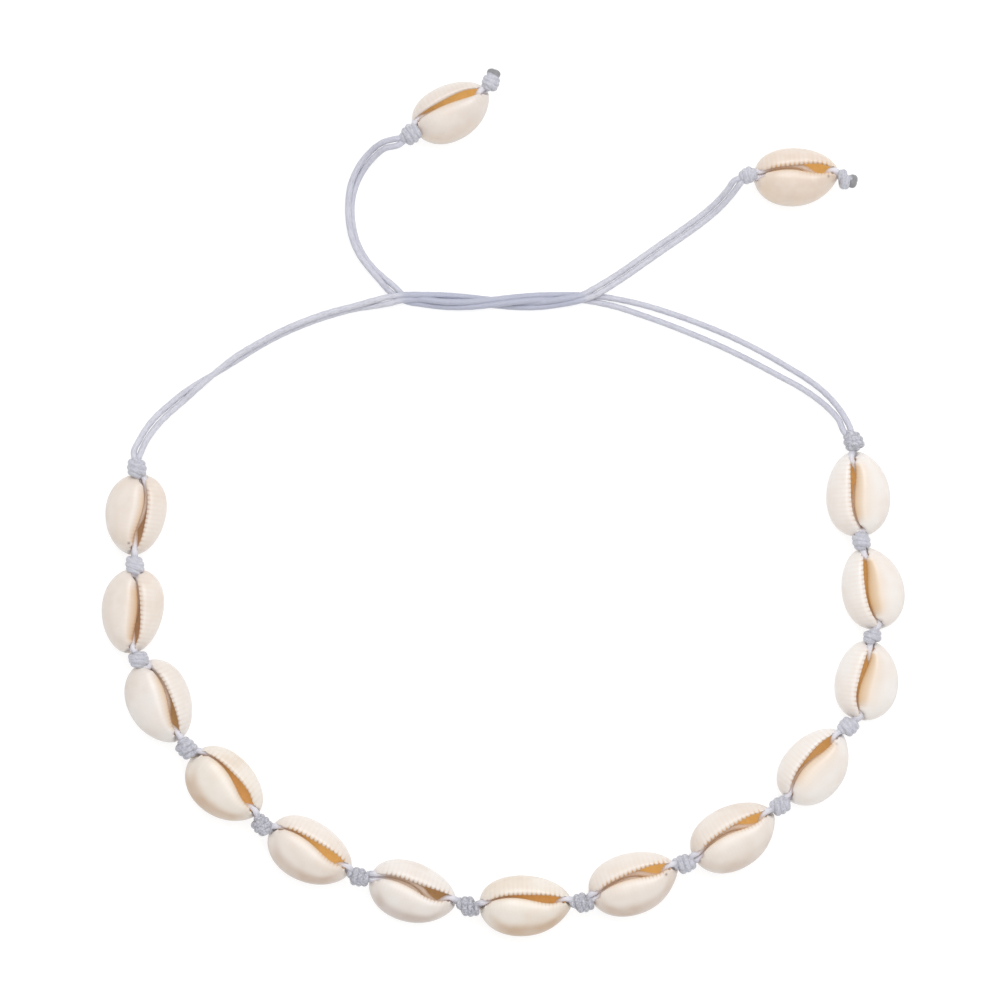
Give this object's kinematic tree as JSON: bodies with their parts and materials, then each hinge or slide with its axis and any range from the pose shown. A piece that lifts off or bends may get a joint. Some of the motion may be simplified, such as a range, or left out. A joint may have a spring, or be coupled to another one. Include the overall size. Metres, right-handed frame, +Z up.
{
  "type": "shell necklace",
  "caption": "Necklace of cowrie shells knotted in a row on a doubled waxed cord, laid flat, with its free ends crossed in a loose twist and each ending in a knotted shell.",
  "frame": {"origin": "middle of the row of shells, seen from above, on the surface that it lies on", "axes": "+X from the left end of the row to the right end, +Y from the row towards the free ends, +Z up from the surface"},
  "size_m": [0.1606, 0.1737, 0.0093],
  "materials": {
    "shell": "glossy cream shell",
    "cord": "light grey waxed cord"
  },
  "bodies": {
    "root": {"shell_01": "shell", "shell_02": "shell", "shell_03": "shell", "shell_04": "shell", "shell_05": "shell", "shell_06": "shell", "shell_07": "shell", "shell_08": "shell", "shell_09": "shell", "shell_10": "shell", "shell_11": "shell", "shell_12": "shell", "shell_13": "shell", "shell_end_left": "shell", "shell_end_right": "shell", "thread_01": "cord", "thread_02": "cord", "thread_03": "cord", "thread_04": "cord", "thread_05": "cord", "thread_06": "cord", "thread_07": "cord", "thread_08": "cord", "thread_09": "cord", "thread_10": "cord", "thread_11": "cord", "thread_12": "cord", "thread_13": "cord", "thread_end_left": "cord", "thread_end_right": "cord", "knot_01": "cord", "knot_02": "cord", "knot_03": "cord", "knot_04": "cord", "knot_05": "cord", "knot_06": "cord", "knot_07": "cord", "knot_08": "cord", "knot_09": "cord", "knot_10": "cord", "knot_11": "cord", "knot_12": "cord", "knot_13": "cord", "knot_14": "cord", "knot_end_left_inner": "cord", "knot_end_left_outer": "cord", "knot_end_right_inner": "cord", "knot_end_right_outer": "cord", "cord_left_a": "cord", "cord_left_b": "cord", "cord_right_a": "cord", "cord_right_b": "cord"}
  },
  "joints": []
}
